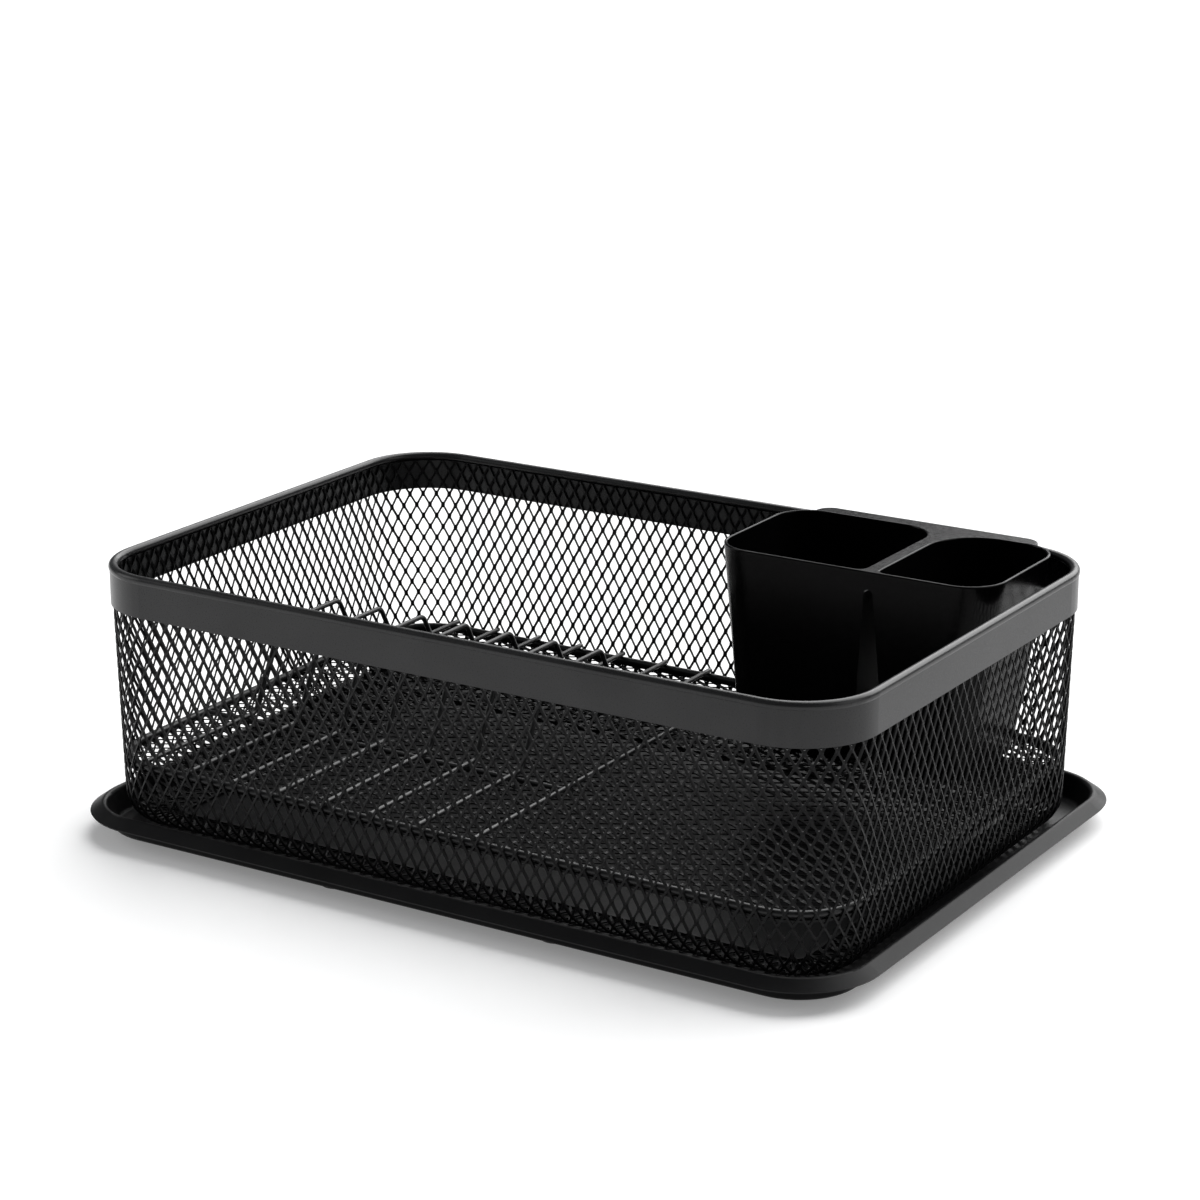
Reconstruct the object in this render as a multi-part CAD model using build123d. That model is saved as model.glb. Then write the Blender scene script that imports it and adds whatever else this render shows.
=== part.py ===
"""Dish drying rack: an expanded-metal basket in a drip tray, with a cutlery cup on its rim.

Units are mm. +Z is up, +X runs along the long side to the right and -Y is the front.
The origin is on the table, under the middle of the drip tray.
"""
import os
from math import cos, radians

from build123d import *

# ---- driving dimensions ------------------------------------------------------------------

BASKET_LENGTH = 450.0      # bead centreline, left to right
BASKET_DEPTH = 300.0       # bead centreline, front to back
BASKET_CORNER = 40.0       # plan radius of the bead centreline
BASKET_X = -3.5            # the basket sits a little off the middle of the tray
BASKET_Y = -2.0
BEAD_RADIUS = 2.6
BEAD_Z = 144.7             # height of the bead's centreline
BAND_BOTTOM = 124.6
BAND_SHEET = 1.0
BAND_PROUD = 2.1           # band's outer face, outside the bead centreline

MESH_SHEET = 1.2           # expanded metal, over its strands
MESH_TOP = 141.9
MESH_BOTTOM = 3.0
MESH_TAPER = 2.5           # how far the wall leans in between the band and its foot
MESH_FOOT_RADIUS = 16.0
MESH_FLANGE_REACH = 31.5   # from the wall's foot to the flange's inner edge
WELD_GAP = 0.05            # left between welded pieces, so that they touch without overlapping

RING_RADIUS = 2.1
RING_Z = 39.0
WIRE_RADIUS = 1.4
HOOP_COUNT = 7
HOOP_PITCH = 29.5
FIRST_HOOP_X = -12.3       # the hoop nearest the cup; the rest run to its left
STRAIGHT_WIRE_X = 22.4
HOOP_FOOT_Y = 52.0         # where a hoop's legs leave the floor
HOOP_TOP_Y = 27.5
HOOP_TOP_Z = 87.5
HOOP_BEND = 6.0
TIE_Y = 58.5

TRAY_LENGTH = 473.0        # over the lip
TRAY_DEPTH = 347.0
TRAY_CORNER = 45.0
TRAY_SHEET = 1.2
TRAY_HEIGHT = 16.4         # crest of the lip
LIP_WIDTH = 8.0            # crest to outer edge, in plan
LIP_EDGE_Z = 11.0          # height of the lip's outer edge
LIP_EDGE_INSET = 0.3       # the edge's middle, inside its outer corner
TRAY_WALL_LEAN = 4.5       # how far the wall leans out between base and crest

FOOT_RADIUS = 10.0
FOOT_HEIGHT = 1.5
FOOT_X = 67.5
FOOT_Y = 148.0

CUP_LEFT = 41.0            # cup outline at the rim, in the basket's own frame
CUP_RIGHT = 206.0
CUP_FRONT = 52.0
CUP_BACK = 146.3
CUP_TOP = 149.5
CUP_BOTTOM = 39.5
CUP_CORNER = 22.0
CUP_WALL = 1.8
CUP_FLOOR = 2.0
CUP_DRAFT_LEFT = 10.0      # how far each side leans in from rim to bottom
CUP_DRAFT_RIGHT = 17.0
CUP_DRAFT_FRONT = 5.0
CUP_DRAFT_BACK = 5.0
RIM_ROUND = 0.7            # rounding of the rim's edges
FOLD_X = 137.0             # the fold between the two wells
FOLD_TOP = 139.5
FOLD_HALF_BOTTOM = 10.5
FOLD_HALF_TOP = 2.6
FOLD_WALL = 2.2            # web on each side of the fold's line, at the rim
WELL_SHARP_CORNER = 5.0    # each well's front corner beside the fold
WELL_WIDE_CORNER = 30.0    # the right well's back corner beside the fold
HOOK_LEFT = 56.0
HOOK_RIGHT = 190.0
HOOK_SHEET = 1.8
HOOK_DROP = 12.0
HOOK_CORNER = 9.0
HOOK_ROOT = 1.4            # how far the flange reaches into the cup's wall
FIT_GAP = 0.3              # between the cup and the bead that it hangs on

# ---- shared shapes -----------------------------------------------------------------------

ARC_SHARE = cos(radians(45))


def nearer_end(edge_run, point):
    """The end of a run of edges that lies nearer a point."""
    return min((edge_run @ 0, edge_run @ 1), key=lambda end: (end - point).length)


def strip(points, bends, sheet):
    """A thin strip of the given thickness whose middle follows the points, with rounded bends."""
    middle = Wire(FilletPolyline(*points, radius=bends).edges())
    left = middle.offset_2d(sheet / 2, side=Side.LEFT, closed=False)
    right = middle.offset_2d(sheet / 2, side=Side.RIGHT, closed=False)
    caps = [Line(nearer_end(left, end), nearer_end(right, end)).edge() for end in (middle @ 0, middle @ 1)]
    return make_face(left.edges() + right.edges() + caps)


def around(profile, length, depth, corner):
    """Carry a profile (outward, up) once round a rounded rectangle in plan."""
    ring = None
    for turn in range(4):
        along, across = (length, depth) if turn % 2 == 0 else (depth, length)
        run = along - 2 * corner
        start = Plane(origin=(run / 2, -across / 2, 0), x_dir=(0, -1, 0), z_dir=(-1, 0, 0))
        section = (start * profile).faces()[0]
        pivot = Axis((run / 2, corner - across / 2, 0), (0, 0, 1))
        for piece in (Solid.extrude(section, Vector(-run, 0, 0)), Solid.revolve(section, 90, pivot)):
            turned = Rot(0, 0, 90 * turn) * piece
            ring = turned if ring is None else ring + turned
    return ring


def plate(length, depth, corner, low, high):
    """A flat rounded-rectangle sheet between two heights."""
    return Pos(0, 0, low) * extrude(RectangleRounded(length, depth, corner), high - low)


def wire_along(points, radius, bend):
    """A round wire through the points, with rounded bends."""
    path = FilletPolyline(*points, radius=bend) if len(points) > 2 else Line(*points)
    return sweep(Plane(origin=path @ 0, z_dir=path % 0) * Circle(radius), path=path)


def in_basket(shape):
    """Move a shape from the basket's own frame into the rack's frame."""
    return Pos(BASKET_X, BASKET_Y, 0) * shape


def save(name, shape):
    """Write one node."""
    export_step(shape, os.path.join("parts", name + ".step"))


# ---- drip tray and its feet --------------------------------------------------------------


def drip_tray():
    """The pressed tray: a flat base, a leaning wall and a lip that slopes outward."""
    half = TRAY_SHEET / 2
    crest_x = -LIP_WIDTH
    foot_x = crest_x - TRAY_WALL_LEAN
    base_z = FOOT_HEIGHT + half
    seam = foot_x - 10.0
    section = strip(
        [
            (seam, base_z),
            (foot_x, base_z),
            (crest_x, TRAY_HEIGHT - half + 0.6),
            (-LIP_EDGE_INSET, LIP_EDGE_Z),
        ],
        [3.0, 1.6],
        TRAY_SHEET,
    )
    rim = around(section, TRAY_LENGTH, TRAY_DEPTH, TRAY_CORNER)
    base = plate(
        TRAY_LENGTH + 2 * seam,
        TRAY_DEPTH + 2 * seam,
        TRAY_CORNER + seam,
        FOOT_HEIGHT,
        FOOT_HEIGHT + TRAY_SHEET,
    )
    return rim + base


def foot(side_x, side_y):
    """One round pad under the tray, with an eased lower edge."""
    pad = Cylinder(FOOT_RADIUS, FOOT_HEIGHT, align=(Align.CENTER, Align.CENTER, Align.MIN))
    pad = chamfer(pad.edges().group_by(Axis.Z)[0], 0.5)
    return Pos(side_x * FOOT_X, side_y * FOOT_Y, 0) * pad


# ---- basket ------------------------------------------------------------------------------


def rim_band():
    """The band round the top, with its upper edge rolled inward into a bead."""
    bead = Circle(BEAD_RADIUS) - Circle(BEAD_RADIUS - BAND_SHEET)
    slot = Pos(-BEAD_RADIUS / 2, -BEAD_RADIUS / 2) * Rectangle(BEAD_RADIUS, 0.8)
    band_height = BEAD_Z - BAND_BOTTOM
    band = Pos(BAND_PROUD - BAND_SHEET / 2, -band_height / 2) * Rectangle(BAND_SHEET, band_height)
    section = Pos(0, BEAD_Z) * (bead - slot + band)
    return in_basket(around(section, BASKET_LENGTH, BASKET_DEPTH, BASKET_CORNER))


def wall_face_inset(height):
    """How far inside its top the wall's face stands at a height above the foot radius."""
    foot_top = MESH_BOTTOM + MESH_FOOT_RADIUS
    return MESH_TAPER * (BAND_BOTTOM - height) / (BAND_BOTTOM - foot_top)


def wall_mesh():
    """The expanded-metal wall as one closed sheet, with its rounded foot and inward flange."""
    half = MESH_SHEET / 2
    face = BAND_PROUD - BAND_SHEET - WELD_GAP - half
    foot_x = face - wall_face_inset(MESH_BOTTOM)
    section = strip(
        [
            (face, MESH_TOP),
            (face, BAND_BOTTOM),
            (foot_x, MESH_BOTTOM + half),
            (foot_x - MESH_FLANGE_REACH, MESH_BOTTOM + half),
        ],
        [20.0, MESH_FOOT_RADIUS],
        MESH_SHEET,
    )
    return in_basket(around(section, BASKET_LENGTH, BASKET_DEPTH, BASKET_CORNER))


def wall_inner_half(size, height):
    """Half the clear size inside the wall at a height, along X or Y."""
    face = BAND_PROUD - BAND_SHEET - WELD_GAP - MESH_SHEET
    return size / 2 + face - wall_face_inset(height)


def ring_wire():
    """The thick wire that runs round the inside of the wall."""
    inset = RING_RADIUS + WELD_GAP
    half_length = wall_inner_half(BASKET_LENGTH, RING_Z) - inset
    half_depth = wall_inner_half(BASKET_DEPTH, RING_Z) - inset
    corner = BASKET_CORNER - (BASKET_LENGTH / 2 - half_length)
    section = Pos(0, RING_Z) * Circle(RING_RADIUS)
    return in_basket(around(section, 2 * half_length, 2 * half_depth, corner))


def floor_mesh():
    """The expanded-metal floor as one closed sheet, just under the ring wire."""
    top = RING_Z - RING_RADIUS - WELD_GAP
    half_length = wall_inner_half(BASKET_LENGTH, top - MESH_SHEET) - 2 * WELD_GAP
    half_depth = wall_inner_half(BASKET_DEPTH, top - MESH_SHEET) - 2 * WELD_GAP
    corner = BASKET_CORNER - (BASKET_LENGTH / 2 - half_length)
    return in_basket(plate(2 * half_length, 2 * half_depth, corner, top - MESH_SHEET, top))


CROSS_Z = RING_Z + RING_RADIUS + WIRE_RADIUS + WELD_GAP
CROSS_HALF = wall_inner_half(BASKET_DEPTH, CROSS_Z) - 4 * WELD_GAP - 0.4


def straight_wire():
    """The cross wire beside the cup, with no hoop."""
    ends = [(STRAIGHT_WIRE_X, -CROSS_HALF, CROSS_Z), (STRAIGHT_WIRE_X, CROSS_HALF, CROSS_Z)]
    return in_basket(wire_along(ends, WIRE_RADIUS, 0))


def hoop_wire(index):
    """One cross wire, bent up in the middle into a flat-topped hoop."""
    x = FIRST_HOOP_X - index * HOOP_PITCH
    front = [(x, -CROSS_HALF, CROSS_Z), (x, -HOOP_FOOT_Y, CROSS_Z), (x, -HOOP_TOP_Y, HOOP_TOP_Z)]
    back = [(px, -py, pz) for px, py, pz in reversed(front)]
    return in_basket(wire_along(front + back, WIRE_RADIUS, HOOP_BEND))


def tie_wire(side):
    """A long wire under the cross wires, from the ring's left end to the straight wire."""
    z = CROSS_Z - 2 * WIRE_RADIUS - WELD_GAP
    left = -wall_inner_half(BASKET_LENGTH, RING_Z) + 2 * RING_RADIUS + 3 * WELD_GAP
    ends = [(left, side * TIE_Y, z), (STRAIGHT_WIRE_X + WIRE_RADIUS, side * TIE_Y, z)]
    return in_basket(wire_along(ends, WIRE_RADIUS, 0))


# ---- cutlery cup -------------------------------------------------------------------------


def outline(left, right, front, back, corners, z):
    """A rectangle face at one height, with its own radius at each corner.

    The corners are given as front left, front right, back right, back left.
    """
    places = ((left, front), (right, front), (right, back), (left, back))
    arms = ((1, 1), (-1, 1), (-1, -1), (1, -1))
    edges = []
    ends = []
    for index, ((x, y), (sx, sy), radius) in enumerate(zip(places, arms, corners)):
        along_x = (x + sx * radius, y, z)
        along_y = (x, y + sy * radius, z)
        middle = (x + sx * radius * (1 - ARC_SHARE), y + sy * radius * (1 - ARC_SHARE), z)
        start, end = (along_y, along_x) if index % 2 == 0 else (along_x, along_y)
        edges.append(ThreePointArc(start, middle, end).edge())
        ends.append((start, end))
    for (_, leaving), (arriving, _) in zip(ends, ends[1:] + ends[:1]):
        edges.append(Line(leaving, arriving).edge())
    return make_face(edges)


def leaning(top, bottom, corners_top, corners_bottom, z_top, z_bottom):
    """A solid lofted between two outlines, each given as (left, right, front, back)."""
    return loft([outline(*bottom, corners_bottom, z_bottom), outline(*top, corners_top, z_top)])


def cup_outer():
    """The outside of the cup, which leans in evenly from rim to bottom."""
    rim = (CUP_LEFT, CUP_RIGHT, CUP_FRONT, CUP_BACK)
    bottom = (
        CUP_LEFT + CUP_DRAFT_LEFT,
        CUP_RIGHT - CUP_DRAFT_RIGHT,
        CUP_FRONT + CUP_DRAFT_FRONT,
        CUP_BACK - CUP_DRAFT_BACK,
    )
    return leaning(rim, bottom, [CUP_CORNER] * 4, [CUP_CORNER - 4] * 4, CUP_TOP, CUP_BOTTOM)


def fold_half(z):
    """Half the fold's width at a height."""
    share = (z - CUP_BOTTOM) / (FOLD_TOP - CUP_BOTTOM)
    return FOLD_HALF_BOTTOM + (FOLD_HALF_TOP - FOLD_HALF_BOTTOM) * share


def cup_well(side):
    """The hollow of one well: -1 is left of the fold and 1 is right of it."""
    floor_z = CUP_BOTTOM + CUP_FLOOR
    inner = CUP_CORNER - CUP_WALL
    by_fold_top = FOLD_X + side * (fold_half(CUP_TOP) + FOLD_WALL)
    by_fold_bottom = FOLD_X + side * (fold_half(floor_z) + CUP_WALL)
    front = (CUP_FRONT + CUP_WALL, CUP_FRONT + CUP_DRAFT_FRONT + CUP_WALL)
    back = (CUP_BACK - CUP_WALL, CUP_BACK - CUP_DRAFT_BACK - CUP_WALL)
    if side < 0:
        outer = (CUP_LEFT + CUP_WALL, CUP_LEFT + CUP_DRAFT_LEFT + CUP_WALL)
        top = (outer[0], by_fold_top, front[0], back[0])
        bottom = (outer[1], by_fold_bottom, front[1], back[1])
        corners = [inner, WELL_SHARP_CORNER, inner, inner]
    else:
        outer = (CUP_RIGHT - CUP_WALL, CUP_RIGHT - CUP_DRAFT_RIGHT - CUP_WALL)
        top = (by_fold_top, outer[0], front[0], back[0])
        bottom = (by_fold_bottom, outer[1], front[1], back[1])
        corners = [WELL_SHARP_CORNER, inner, inner, WELL_WIDE_CORNER]
    corners_bottom = [min(radius, inner - 6) for radius in corners]
    return leaning(top, bottom, corners, corners_bottom, CUP_TOP, floor_z)


def cup_fold():
    """The open wedge between the wells, with a round top, right through from front to back."""
    low = CUP_BOTTOM - 1
    round_z = FOLD_TOP - FOLD_HALF_TOP
    wedge = Polygon(
        (-fold_half(low), low),
        (fold_half(low), low),
        (FOLD_HALF_TOP, round_z),
        (-FOLD_HALF_TOP, round_z),
        align=None,
    )
    wedge += Pos(0, round_z) * Circle(FOLD_HALF_TOP)
    side_view = Plane(origin=(FOLD_X, CUP_BACK + 5, 0), x_dir=(1, 0, 0), z_dir=(0, -1, 0))
    return extrude(side_view * wedge, CUP_BACK - CUP_FRONT + 10)


def block(left, right, front, back, low, high):
    """A box between two limits along each axis."""
    return Pos(left, front, low) * Box(right - left, back - front, high - low, align=Align.MIN)


def cup_hook():
    """The flange that reaches back from the rim over the bead and turns down behind it."""
    back = BASKET_DEPTH / 2 + BEAD_RADIUS + FIT_GAP + HOOK_SHEET
    shelf = block(HOOK_LEFT, HOOK_RIGHT, CUP_BACK - HOOK_ROOT, back, CUP_TOP - HOOK_SHEET, CUP_TOP)
    shelf = fillet(shelf.edges().filter_by(Axis.Z).group_by(Axis.Y)[-1], HOOK_CORNER)
    left = HOOK_LEFT + HOOK_CORNER
    right = HOOK_RIGHT - HOOK_CORNER
    return shelf + block(left, right, back - HOOK_SHEET, back, CUP_TOP - HOOK_DROP, CUP_TOP - HOOK_SHEET / 2)


def cutlery_cup():
    """The two-well cutlery cup that hangs on the back of the rim."""
    cup = cup_outer() - cup_well(-1) - cup_well(1) - cup_fold() + cup_hook()
    rim_edges = [edge for edge in cup.edges() if edge.bounding_box().min.Z > CUP_TOP - 0.01]
    return in_basket(fillet(rim_edges, RIM_ROUND))


# ---- write every node --------------------------------------------------------------------

os.makedirs("parts", exist_ok=True)

save("drip_tray", drip_tray())
for corner_name, corner_x, corner_y in (
    ("front_left", -1, -1),
    ("front_right", 1, -1),
    ("back_left", -1, 1),
    ("back_right", 1, 1),
):
    save("foot_" + corner_name, foot(corner_x, corner_y))
save("rim_band", rim_band())
save("wall_mesh", wall_mesh())
save("floor_mesh", floor_mesh())
save("ring_wire", ring_wire())
for hoop_index in range(HOOP_COUNT):
    save("hoop_wire_%d" % (hoop_index + 1), hoop_wire(hoop_index))
save("straight_wire", straight_wire())
save("tie_wire_front", tie_wire(-1))
save("tie_wire_back", tie_wire(1))
save("cutlery_cup", cutlery_cup())
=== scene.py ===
"""Dish drying rack: an expanded-metal basket in a drip tray, with a cutlery cup on its rim.

Everything is in metres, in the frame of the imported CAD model.
"""
import math

import bpy
import numpy as np
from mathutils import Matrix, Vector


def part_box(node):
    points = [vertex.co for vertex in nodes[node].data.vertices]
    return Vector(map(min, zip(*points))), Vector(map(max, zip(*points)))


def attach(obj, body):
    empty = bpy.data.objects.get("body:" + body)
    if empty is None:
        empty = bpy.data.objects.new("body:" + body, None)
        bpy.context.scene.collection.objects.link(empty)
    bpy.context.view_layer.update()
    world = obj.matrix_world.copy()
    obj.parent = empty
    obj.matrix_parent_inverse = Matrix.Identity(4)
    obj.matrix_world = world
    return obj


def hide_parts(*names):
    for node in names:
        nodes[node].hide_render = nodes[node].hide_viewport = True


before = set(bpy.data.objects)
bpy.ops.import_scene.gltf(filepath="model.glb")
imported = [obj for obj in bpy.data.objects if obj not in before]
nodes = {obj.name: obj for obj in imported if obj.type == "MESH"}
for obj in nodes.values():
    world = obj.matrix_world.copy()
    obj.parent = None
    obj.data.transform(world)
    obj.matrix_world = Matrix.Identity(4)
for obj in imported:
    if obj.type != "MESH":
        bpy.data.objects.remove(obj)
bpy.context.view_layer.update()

MM = 0.001

# ---- sizes that the CAD nodes don't give by themselves -----------------------------------

SHEET = 1.2 * MM              # expanded metal, over its strands
STRAND_SHEET = 0.8 * MM       # thickness of one strand
STRAND_TILT = 0.19 * MM       # how far each opening's edge is twisted out of the sheet
DIAMOND_SHORT = 8.0 * MM
DIAMOND_LONG = 13.4 * MM
BAND_BOTTOM = 124.6 * MM
BASKET_CORNER = 41.05 * MM    # plan radius of the wall's outer face
TAPER = 2.5 * MM
FOOT_RADIUS = 16.0 * MM
FLANGE_REACH = 31.5 * MM
HEM_WIDTH = 1.6 * MM
HEM_SHEET = SHEET * 0.95      # just inside the faces of the sheet
WALL_BEND = 20 * MM           # radius where the wall starts to lean in
FLOOR_CORNER = 36 * MM        # plan radius of the floor mesh
SLOPE_STEP = 0.2 * MM         # how far apart a profile is read to find its slope


# ---- expanded metal ----------------------------------------------------------------------


def rounded_path(points, radii, arc_steps=24):
    """The points of a polyline whose inner corners are rounded with the given radii."""
    points = [np.array(p, float) for p in points]
    path = [points[0]]
    for before, corner, after, radius in zip(points, points[1:], points[2:], radii):
        towards_before = (before - corner) / np.linalg.norm(before - corner)
        towards_after = (after - corner) / np.linalg.norm(after - corner)
        half_angle = math.acos(float(np.clip(towards_before @ towards_after, -1, 1))) / 2
        setback = radius / math.tan(half_angle)
        bisector = towards_before + towards_after
        bisector /= np.linalg.norm(bisector)
        centre = corner + bisector * radius / math.sin(half_angle)
        start = corner + towards_before * setback - centre
        end = corner + towards_after * setback - centre
        turn = math.pi - 2 * half_angle
        for step in range(arc_steps + 1):
            share = step / arc_steps
            weight_start = math.sin((1 - share) * turn) / math.sin(turn)
            weight_end = math.sin(share * turn) / math.sin(turn)
            path.append(centre + weight_start * start + weight_end * end)
    path.append(points[-1])
    return np.array(path)


class Profile:
    """A curve in the (outward, up) plane that is read by its length from the top."""

    def __init__(self, points, radii):
        self.path = rounded_path(points, radii)
        steps = np.linalg.norm(np.diff(self.path, axis=0), axis=1)
        self.length_at = np.concatenate([[0], np.cumsum(steps)])
        self.length = self.length_at[-1]

    def at(self, distance):
        """Outward, up, and the outward normal's two parts, at each distance."""
        here = self._point(distance)
        ahead = self._point(np.minimum(distance + SLOPE_STEP, self.length))
        behind = self._point(np.maximum(distance - SLOPE_STEP, 0))
        tangent = ahead - behind
        tangent /= np.linalg.norm(tangent, axis=1)[:, None]
        return here[:, 0], here[:, 1], -tangent[:, 1], tangent[:, 0]

    def _point(self, distance):
        columns = [np.interp(distance, self.length_at, self.path[:, k]) for k in (0, 1)]
        return np.stack(columns, axis=1)


class Outline:
    """A rounded rectangle in plan, read by the distance round it from the front's middle."""

    def __init__(self, centre, half_x, half_y, corner):
        self.centre = centre
        self.half = (half_x, half_y)
        self.corner = corner
        run_x, run_y = half_x - corner, half_y - corner
        arc = math.pi / 2 * corner
        self.parts = []
        start = 0.0
        for turn, run, half_out in (
            (0, 2 * run_x, half_y),
            (1, 2 * run_y, half_x),
            (2, 2 * run_x, half_y),
            (3, 2 * run_y, half_x),
        ):
            self.parts.append(("side", start, run, turn, half_out))
            start += run
            self.parts.append(("turn", start, arc, turn, half_out))
            start += arc
        self.length = start

    def at(self, distance, outward):
        """X, Y and the outward direction's X and Y at each distance, that far outside."""
        distance = np.mod(distance, self.length)
        x, y = np.zeros_like(distance), np.zeros_like(distance)
        nx, ny = np.zeros_like(distance), np.zeros_like(distance)
        for kind, start, size, turn, half_out in self.parts:
            chosen = (distance >= start) & (distance < start + size + 1e-12)
            along = distance[chosen] - start
            run = self.half[turn % 2] - self.corner
            if kind == "side":
                angle = np.full_like(along, -math.pi / 2)
                px, py = along - run, np.full_like(along, -half_out)
            else:
                angle = along / self.corner - math.pi / 2
                px = run + self.corner * np.cos(angle)
                py = -half_out + self.corner + self.corner * np.sin(angle)
            cos_turn, sin_turn = round(math.cos(turn * math.pi / 2)), round(math.sin(turn * math.pi / 2))
            ax, ay = np.cos(angle), np.sin(angle)
            x[chosen] = px * cos_turn - py * sin_turn
            y[chosen] = px * sin_turn + py * cos_turn
            nx[chosen] = ax * cos_turn - ay * sin_turn
            ny[chosen] = ax * sin_turn + ay * cos_turn
        return self.centre[0] + x + nx * outward, self.centre[1] + y + ny * outward, nx, ny


def diamond_template(short, long):
    """One diamond of the lattice: its points (across, along, twist) and its faces."""
    half_s, half_l = short / 2, long / 2
    tip_half, tip_at = 0.05 * short, 0.372 * long
    waist_at, waist_half = 0.36 * short, 0.055 * long
    outer = [
        (0, -half_l), (half_s / 2, -half_l / 2), (half_s, 0), (half_s / 2, half_l / 2),
        (0, half_l), (-half_s / 2, half_l / 2), (-half_s, 0), (-half_s / 2, -half_l / 2),
    ]
    corners = [
        (tip_half, -tip_at), (waist_at, -waist_half), (waist_at, waist_half), (tip_half, tip_at),
        (-tip_half, tip_at), (-waist_at, waist_half), (-waist_at, -waist_half), (-tip_half, -tip_at),
    ]
    middles = [
        tuple((a + b) / 2 for a, b in zip(corners[k], corners[k + 1])) for k in (0, 2, 4, 6)
    ]
    points = [(x, y, 0.0) for x, y in outer]
    points += [(x, y, -np.sign(y) * STRAND_TILT) for x, y in corners + middles]
    faces = []
    for k in range(4):
        start, mid, end = 2 * k, 2 * k + 1, (2 * k + 2) % 8
        inner_start, inner_end, inner_mid = 8 + 2 * k, 8 + 2 * k + 1, 16 + k
        next_inner = 8 + (2 * k + 2) % 8
        faces.append((start, mid, inner_mid, inner_start))
        faces.append((mid, end, inner_end, inner_mid))
        faces.append((end, next_inner, inner_end))
    return points, faces


def clip(polygon, lines):
    """The part of a convex polygon that is on the inner side of every line (a, b, c): a*x + b*y <= c."""
    for a, b, c in lines:
        kept = []
        for index, point in enumerate(polygon):
            before = polygon[index - 1]
            here_side = a * point[0] + b * point[1] - c
            before_side = a * before[0] + b * before[1] - c
            if here_side * before_side < 0 and min(abs(here_side), abs(before_side)) > 1e-9:
                share = before_side / (before_side - here_side)
                kept.append(tuple(p + (q - p) * share for p, q in zip(before, point)))
            if here_side <= 1e-9:
                kept.append(point)
        polygon = kept
        if len(polygon) < 3:
            return []
    return polygon


def lattice(columns, rows, short, long, lines, wrap):
    """Welded points and faces of a diamond lattice, in (across, along, twist)."""
    points, faces = diamond_template(short, long)
    index_of, welded, result = {}, [], []

    def weld(point):
        across = point[0] % wrap if wrap else point[0]
        key = (round(across / 1e-6), round(point[1] / 1e-6))
        if wrap and key[0] == round(wrap / 1e-6):
            key = (0, key[1])
        if key not in index_of:
            index_of[key] = len(welded)
            welded.append((across, point[1], point[2]))
        return index_of[key]

    for row in range(rows[0], rows[1] + 1):
        for column in range(columns[0], columns[1]):
            centre = ((column + 0.5 * (row % 2)) * short, row * long / 2)
            placed = [(centre[0] + x, centre[1] + y, t) for x, y, t in points]
            whole = all(a * x + b * y <= c + 1e-9 for a, b, c in lines for x, y, _ in placed[:8])
            for face in faces:
                polygon = [placed[k] for k in face]
                if not whole:
                    polygon = clip(polygon, lines)
                ring = [weld(p) for p in polygon]
                ring = [v for k, v in enumerate(ring) if v != ring[k - 1]]
                if len(ring) >= 3:
                    result.append(ring)
    return np.array(welded), result


def thicken(name, flat, faces, place, thickness):
    """A closed mesh made from a flat set of faces: both skins, and a wall on every open edge.

    place(across, along, out) gives each point's position that far out of the sheet.
    """
    count = len(flat)
    front = place(flat[:, 0], flat[:, 1], flat[:, 2] + thickness / 2)
    back = place(flat[:, 0], flat[:, 1], flat[:, 2] - thickness / 2)
    edge_faces = {}
    for ring in faces:
        for k, start in enumerate(ring):
            end = ring[(k + 1) % len(ring)]
            edge_faces.setdefault((min(start, end), max(start, end)), []).append((start, end))
    solid = [tuple(ring) for ring in faces]
    solid += [tuple(v + count for v in reversed(ring)) for ring in faces]
    for uses in edge_faces.values():
        if len(uses) == 1:
            start, end = uses[0]
            solid.append((end, start, start + count, end + count))
    mesh = bpy.data.meshes.new(name)
    mesh.from_pydata(np.concatenate([front, back]).tolist(), [], solid)
    mesh.validate()
    mesh.update()
    piece = bpy.data.objects.new(name, mesh)
    bpy.context.scene.collection.objects.link(piece)
    return piece


def join(pieces, name):
    """Join several pieces into one object."""
    bpy.ops.object.select_all(action="DESELECT")
    for piece in pieces:
        piece.select_set(True)
    bpy.context.view_layer.objects.active = pieces[0]
    bpy.ops.object.join()
    pieces[0].name = name
    return pieces[0]


def hem(name, outline, place, start, end, thickness, steps=240):
    """A narrow closed strip that follows the outline between two distances along the sheet."""
    across = np.linspace(0, outline.length, steps, endpoint=False)
    flat = np.array([(a, b, 0.0) for b in (start, end) for a in across])
    faces = [[k, (k + 1) % steps, steps + (k + 1) % steps, steps + k] for k in range(steps)]
    return thicken(name, flat, faces, place, thickness)


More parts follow.
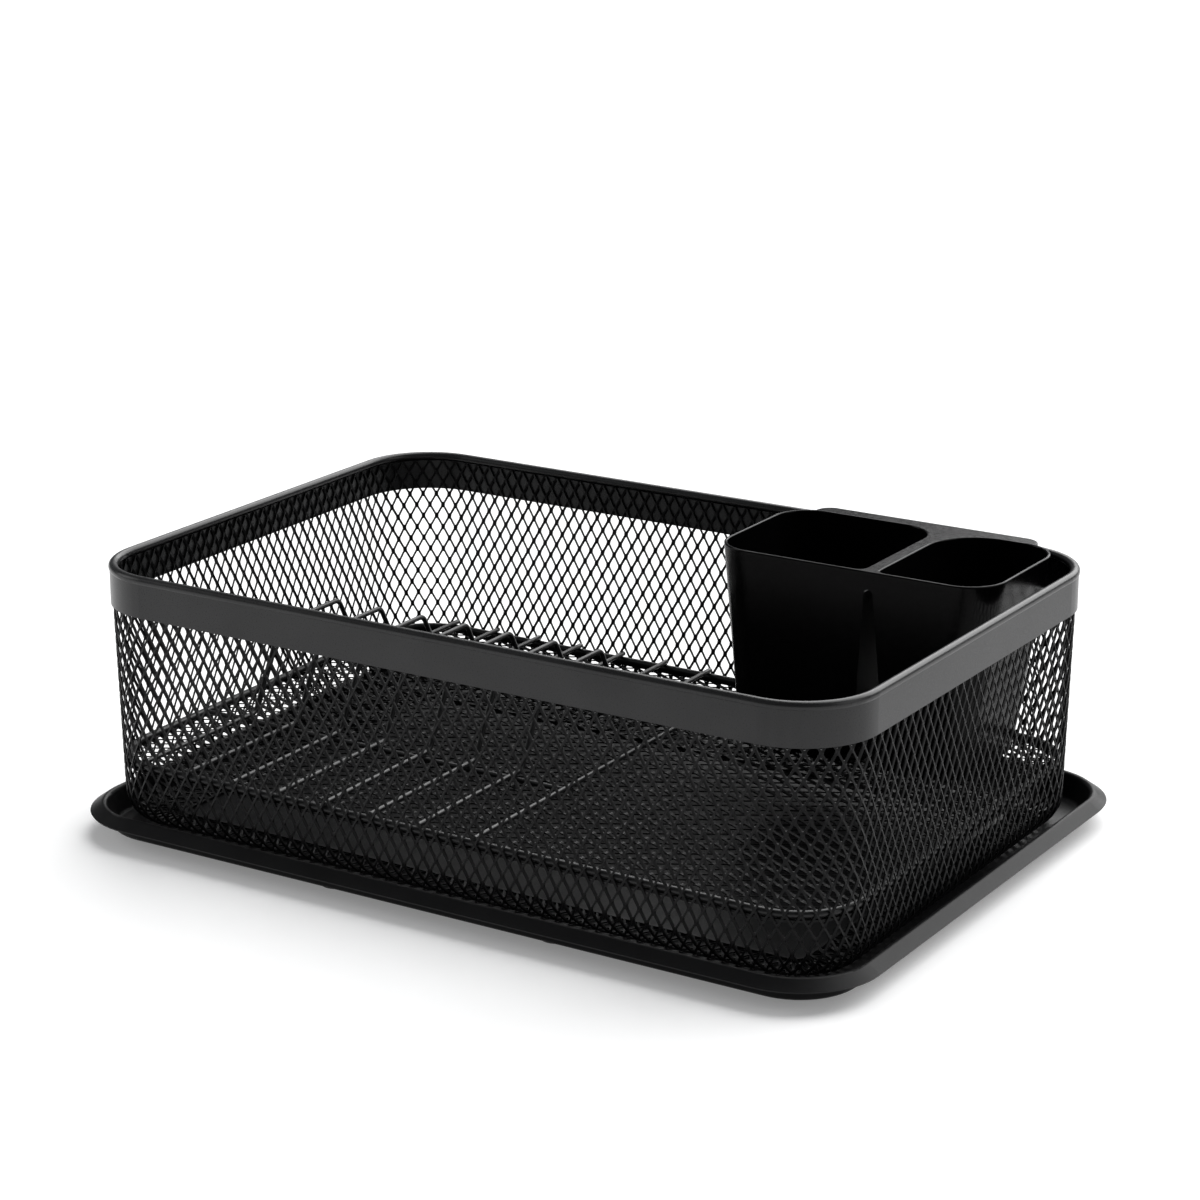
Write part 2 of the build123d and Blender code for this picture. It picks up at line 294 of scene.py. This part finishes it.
def wall_piece():
    """The basket's wall, its rounded foot and its inward flange, as real diamond mesh."""
    low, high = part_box("wall_mesh")
    centre = ((low.x + high.x) / 2, (low.y + high.y) / 2)
    inset = SHEET / 2
    outline = Outline(
        centre,
        (high.x - low.x) / 2 - inset,
        (high.y - low.y) / 2 - inset,
        BASKET_CORNER - inset,
    )
    drop = TAPER * (BAND_BOTTOM - low.z) / (BAND_BOTTOM - low.z - FOOT_RADIUS)
    profile = Profile(
        [
            (0, high.z),
            (0, BAND_BOTTOM),
            (-drop, low.z + inset),
            (-drop - FLANGE_REACH, low.z + inset),
        ],
        [WALL_BEND, FOOT_RADIUS],
    )

    def place(across, along, out):
        outward, up, normal_out, normal_up = profile.at(along)
        x, y, _, _ = outline.at(across, outward + normal_out * out)
        return np.stack([x, y, up + normal_up * out], axis=1)

    columns = round(outline.length / DIAMOND_SHORT)
    short = outline.length / columns
    half_rows = round(profile.length / (DIAMOND_LONG / 2))
    long = 2 * profile.length / half_rows
    ends = [(0, -1, 0), (0, 1, profile.length)]
    flat, faces = lattice((0, columns), (0, half_rows), short, long, ends, outline.length)
    net = thicken("wall_net", flat, faces, place, STRAND_SHEET)
    edge = hem("wall_edge", outline, place, profile.length - HEM_WIDTH, profile.length, HEM_SHEET)
    return join([net, edge], "expanded_wall")


def rounded_rectangle_lines(half_x, half_y, corner, steps=9):
    """The lines that bound a rounded rectangle, for clip()."""
    lines = []
    for quarter in range(4):
        cx = (half_x - corner) * (1 if quarter in (0, 3) else -1)
        cy = (half_y - corner) * (1 if quarter in (0, 1) else -1)
        for step in range(steps + 1):
            angle = math.pi / 2 * (quarter + step / steps)
            a, b = math.cos(angle), math.sin(angle)
            lines.append((a, b, a * cx + b * cy + corner))
    return lines


def floor_piece():
    """The basket's floor as real diamond mesh, with the diamonds' long way along X."""
    low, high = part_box("floor_mesh")
    centre = ((low.x + high.x) / 2, (low.y + high.y) / 2)
    half_x, half_y = (high.x - low.x) / 2, (high.y - low.y) / 2
    middle = (low.z + high.z) / 2

    def place(across, along, out):
        return np.stack([centre[0] + along, centre[1] + across, middle + out], axis=1)

    lines = rounded_rectangle_lines(half_y - HEM_WIDTH / 2, half_x - HEM_WIDTH / 2, FLOOR_CORNER)
    across_count = math.ceil(half_y / DIAMOND_SHORT) + 1
    along_count = math.ceil(half_x / (DIAMOND_LONG / 2)) + 2
    flat, faces = lattice(
        (-across_count, across_count + 1),
        (-along_count, along_count),
        DIAMOND_SHORT,
        DIAMOND_LONG,
        lines,
        None,
    )
    faces = [list(reversed(ring)) for ring in faces]
    net = thicken("floor_net", flat, faces, place, STRAND_SHEET)
    outline = Outline(centre, half_x - HEM_WIDTH / 2, half_y - HEM_WIDTH / 2, FLOOR_CORNER)

    def place_edge(across, along, out):
        x, y, _, _ = outline.at(across, along)
        return np.stack([x, y, middle + out], axis=1)

    edge = hem("floor_edge", outline, place_edge, -HEM_WIDTH / 2, HEM_WIDTH / 2, HEM_SHEET)
    return join([net, edge], "expanded_floor")


# ---- materials ---------------------------------------------------------------------------


class Nodes:
    """A material's node tree, with short ways to add and join nodes."""

    def __init__(self, name):
        self.material = bpy.data.materials.new(name)
        self.material.use_nodes = True
        self.tree = self.material.node_tree
        self.shader = self.tree.nodes["Principled BSDF"]
        self.place = self.add("ShaderNodeTexCoord").outputs["Object"]

    def add(self, kind, **settings):
        node = self.tree.nodes.new(kind)
        for key, value in settings.items():
            setattr(node, key, value)
        return node

    def link(self, source, target):
        self.tree.links.new(source, target)

    def noise(self, scale, detail=3.0, roughness=0.5):
        node = self.add("ShaderNodeTexNoise")
        node.inputs["Scale"].default_value = scale
        node.inputs["Detail"].default_value = detail
        node.inputs["Roughness"].default_value = roughness
        self.link(self.place, node.inputs["Vector"])
        return node.outputs["Fac"]

    def ramp(self, source, low, high, start, end):
        """Map a value between low and high to between start and end."""
        node = self.add("ShaderNodeMapRange")
        node.inputs["From Min"].default_value = low
        node.inputs["From Max"].default_value = high
        node.inputs["To Min"].default_value = start
        node.inputs["To Max"].default_value = end
        self.link(source, node.inputs["Value"])
        return node.outputs["Result"]

    def mix(self, factor, first, second):
        node = self.add("ShaderNodeMix", data_type="RGBA")
        self.link(factor, node.inputs["Factor"])
        for socket, value in ((node.inputs[6], first), (node.inputs[7], second)):
            if isinstance(value, tuple):
                socket.default_value = (*value, 1)
            else:
                self.link(value, socket)
        return node.outputs[2]

    def bump(self, height, distance, strength=1.0, under=None):
        node = self.add("ShaderNodeBump")
        node.inputs["Distance"].default_value = distance
        node.inputs["Strength"].default_value = strength
        self.link(height, node.inputs["Height"])
        if under is not None:
            self.link(under, node.inputs["Normal"])
        return node.outputs["Normal"]


ORANGE_PEEL_DEPTH = 0.02 * MM
FLOW_DEPTH = 0.12 * MM
SCUFF_DEPTH = 0.012 * MM
RUBBER_GRAIN_DEPTH = 0.03 * MM
RUBBED_SHARE = 2.2            # how much paler a rubbed edge is than the coating
PLASTIC_SPECULAR = 0.1


def powder_coat(name, dark, light, rough, grain, specular):
    """A baked black coating: fine orange peel, soft patches, and paler rubbed edges."""
    nodes_of = Nodes(name)
    shader = nodes_of.shader
    patches = nodes_of.noise(28.0, 4.0)
    grit = nodes_of.noise(grain, 2.0, 0.6)
    colour = nodes_of.mix(nodes_of.ramp(patches, 0.3, 0.7, 0.0, 1.0), dark, light)
    pointed = nodes_of.add("ShaderNodeNewGeometry").outputs["Pointiness"]
    rubbed = nodes_of.ramp(pointed, 0.52, 0.62, 0.0, 0.35)
    colour = nodes_of.mix(rubbed, colour, tuple(RUBBED_SHARE * c for c in light))
    nodes_of.link(colour, shader.inputs["Base Color"])
    nodes_of.link(nodes_of.ramp(grit, 0.3, 0.7, rough - 0.05, rough + 0.07), shader.inputs["Roughness"])
    nodes_of.link(nodes_of.bump(grit, ORANGE_PEEL_DEPTH, 0.6), shader.inputs["Normal"])
    shader.inputs["Specular IOR Level"].default_value = specular
    return nodes_of.material


def moulded_plastic(name):
    """Glossy black moulded plastic with faint flow marks and hairline scuffs."""
    nodes_of = Nodes(name)
    shader = nodes_of.shader
    flow = nodes_of.noise(16.0, 3.0)
    haze = nodes_of.noise(420.0, 3.0, 0.6)
    dark, light = (0.0008, 0.0008, 0.0009), (0.0016, 0.0016, 0.0018)
    colour = nodes_of.mix(nodes_of.ramp(flow, 0.35, 0.65, 0, 1), dark, light)
    nodes_of.link(colour, shader.inputs["Base Color"])
    nodes_of.link(nodes_of.ramp(haze, 0.3, 0.75, 0.13, 0.22), shader.inputs["Roughness"])
    wave = nodes_of.bump(flow, FLOW_DEPTH, 0.35)
    nodes_of.link(nodes_of.bump(haze, SCUFF_DEPTH, 0.4, under=wave), shader.inputs["Normal"])
    shader.inputs["Specular IOR Level"].default_value = PLASTIC_SPECULAR
    return nodes_of.material


def matte_rubber(name):
    """Matte black rubber with a fine grain."""
    nodes_of = Nodes(name)
    shader = nodes_of.shader
    grain = nodes_of.noise(1800.0, 2.0)
    colour = nodes_of.mix(nodes_of.ramp(grain, 0.3, 0.7, 0, 1), (0.008, 0.008, 0.008), (0.02, 0.02, 0.02))
    nodes_of.link(colour, shader.inputs["Base Color"])
    nodes_of.link(nodes_of.ramp(grain, 0.3, 0.7, 0.75, 0.9), shader.inputs["Roughness"])
    nodes_of.link(nodes_of.bump(grain, RUBBER_GRAIN_DEPTH, 0.6), shader.inputs["Normal"])
    return nodes_of.material


def finish_piece(piece, material):
    """Give a piece its material."""
    if piece.material_slots:
        for material_slot in piece.material_slots:
            material_slot.material = material
    else:
        piece.data.materials.append(material)


# ---- build -------------------------------------------------------------------------------

band_coat = powder_coat("band_coat", (0.007, 0.007, 0.0075), (0.015, 0.015, 0.0155), 0.30, 1500.0, 0.31)
mesh_coat = powder_coat("mesh_coat", (0.005, 0.005, 0.0053), (0.009, 0.009, 0.0094), 0.40, 1800.0, 0.13)
wire_coat = powder_coat("wire_coat", (0.006, 0.006, 0.0063), (0.011, 0.011, 0.0115), 0.34, 1500.0, 0.3)
tray_coat = powder_coat("tray_coat", (0.005, 0.005, 0.0053), (0.009, 0.009, 0.0094), 0.36, 1300.0, 0.09)
cup_plastic = moulded_plastic("cup_gloss")
foot_rubber = matte_rubber("foot_rubber_look")

wall = wall_piece()
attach(wall, "basket")
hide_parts("wall_mesh")
finish_piece(wall, mesh_coat)

floor = floor_piece()
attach(floor, "basket")
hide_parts("floor_mesh")
finish_piece(floor, mesh_coat)

for node_name, node in nodes.items():
    if node_name in ("wall_mesh", "floor_mesh"):
        continue
    if node_name.startswith("foot"):
        finish_piece(node, foot_rubber)
    elif node_name == "drip_tray":
        finish_piece(node, tray_coat)
    elif node_name == "rim_band":
        finish_piece(node, band_coat)
    elif node_name == "cutlery_cup":
        finish_piece(node, cup_plastic)
    else:
        finish_piece(node, wire_coat)


# ---- stage, light and camera -------------------------------------------------------------


def stage_floor():
    """A pale floor, large enough to fill the view."""
    mesh = bpy.data.meshes.new("stage_floor")
    size = 14.0
    corners = [(-size, -size, 0), (size, -size, 0), (size, size, 0), (-size, size, 0)]
    mesh.from_pydata(corners, [], [(0, 1, 2, 3)])
    floor_object = bpy.data.objects.new("stage_floor", mesh)
    bpy.context.scene.collection.objects.link(floor_object)
    look = Nodes("stage_floor_look")
    look.shader.inputs["Base Color"].default_value = (0.86, 0.86, 0.86, 1)
    look.shader.inputs["Roughness"].default_value = 0.9
    look.shader.inputs["Specular IOR Level"].default_value = 0.1
    look.shader.inputs["Emission Color"].default_value = (1, 1, 1, 1)
    look.shader.inputs["Emission Strength"].default_value = 0.2
    mesh.materials.append(look.material)


def aim_light(name, data, place, aim):
    """Place a light so that it points at a place."""
    light = bpy.data.objects.new(name, data)
    direction = np.array(aim, float) - np.array(place, float)
    light.location = place
    flat = math.hypot(direction[0], direction[1])
    light.rotation_euler = (math.atan2(flat, -direction[2]), 0, math.atan2(-direction[0], direction[1]))
    bpy.context.scene.collection.objects.link(light)


def soft_light(name, place, aim, size, power):
    """A square soft light that points at a place."""
    data = bpy.data.lights.new(name, "AREA")
    data.shape = "SQUARE"
    data.size = size
    data.energy = power
    aim_light(name, data, place, aim)


def sky_light(name, place, spread, power):
    """A very broad distant light, which lights the whole floor evenly."""
    data = bpy.data.lights.new(name, "SUN")
    data.angle = math.radians(spread)
    data.energy = power
    aim_light(name, data, place, (0, 0, 0))


stage_floor()
world = bpy.data.worlds.new("studio")
bpy.context.scene.world = world
world.use_nodes = True
world.node_tree.nodes["Background"].inputs["Color"].default_value = (0.95, 0.97, 1.0, 1)
world.node_tree.nodes["Background"].inputs["Strength"].default_value = 0.15
sky_light("back_light", (0.1, 1.8, 1.75), 70, 4.7)
soft_light("right_light", (2.2, 0.2, 1.1), (0, 0, 0.08), 1.4, 8)
soft_light("left_light", (-2.0, -0.9, 1.0), (0, 0, 0.08), 1.2, 10)

camera_data = bpy.data.cameras.new("camera")
camera_data.sensor_width = 36.0
camera_data.lens = 97.05
camera_data.clip_end = 50.0
camera = bpy.data.objects.new("camera", camera_data)
camera.location = (0.8725, -1.3985, 0.6309)
camera.rotation_euler = (math.radians(72.95), 0, math.radians(31.97))
bpy.context.scene.collection.objects.link(camera)
bpy.context.scene.camera = camera
bpy.context.scene.view_settings.view_transform = "Standard"
